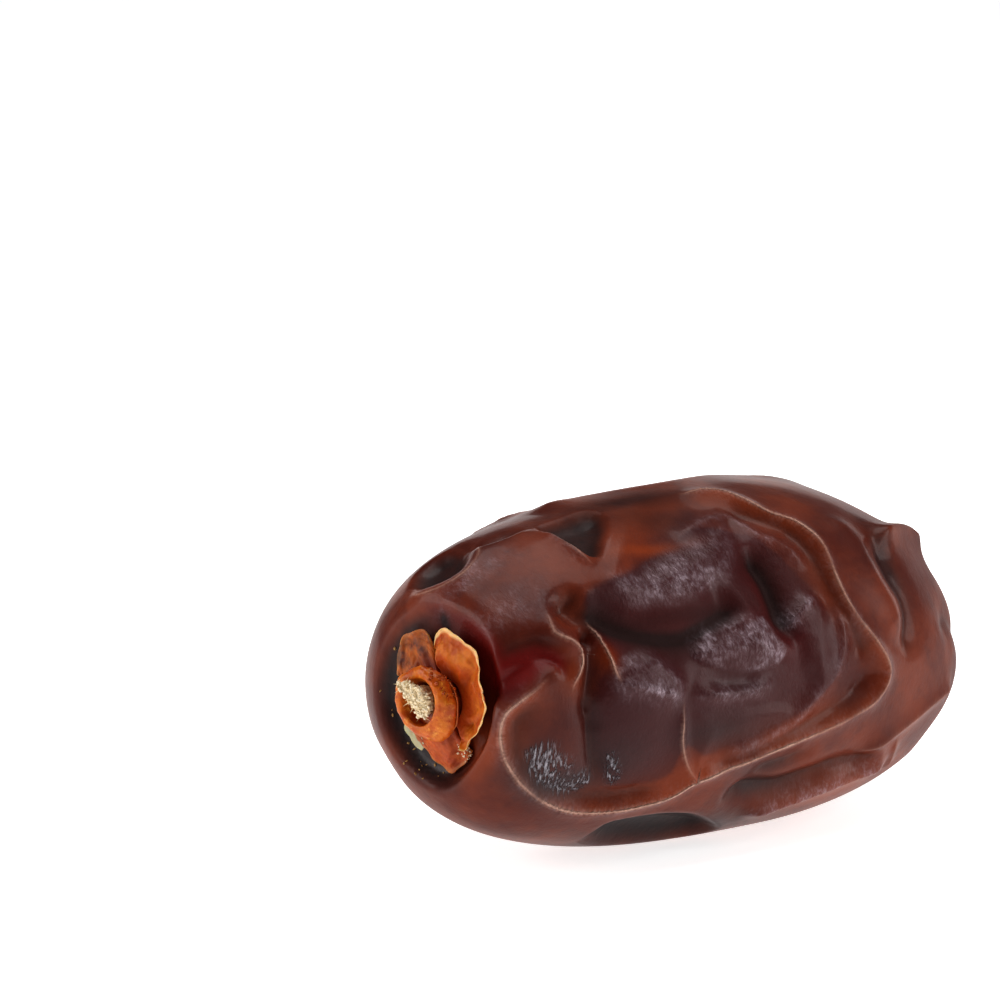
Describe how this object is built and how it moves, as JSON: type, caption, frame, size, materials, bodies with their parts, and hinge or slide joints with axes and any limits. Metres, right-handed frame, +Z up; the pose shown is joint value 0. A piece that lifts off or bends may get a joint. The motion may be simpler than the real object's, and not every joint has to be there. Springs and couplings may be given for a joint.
{
  "type": "khudri date",
  "caption": "Dried Khudri date lying on its side, with wrinkled glossy red-brown skin and a small orange calyx and stalk stub at one end.",
  "frame": {"origin": "middle of the flat spot that the fruit rests on", "axes": "+Z up, +X along the fruit from the calyx end to the tip, -Y the side with the large sunken panel"},
  "size_m": [0.0439, 0.0221, 0.0212],
  "materials": {
    "skin": "semi-gloss dried fruit skin",
    "calyx": "dry, waxy, satin",
    "stub": "torn fibre, matt"
  },
  "bodies": {
    "root": {"fruit": "skin", "petal_front": "calyx", "petal_top": "calyx", "petal_bottom": "calyx", "sepal_cup": "calyx", "stalk_stub": "stub"}
  },
  "joints": []
}
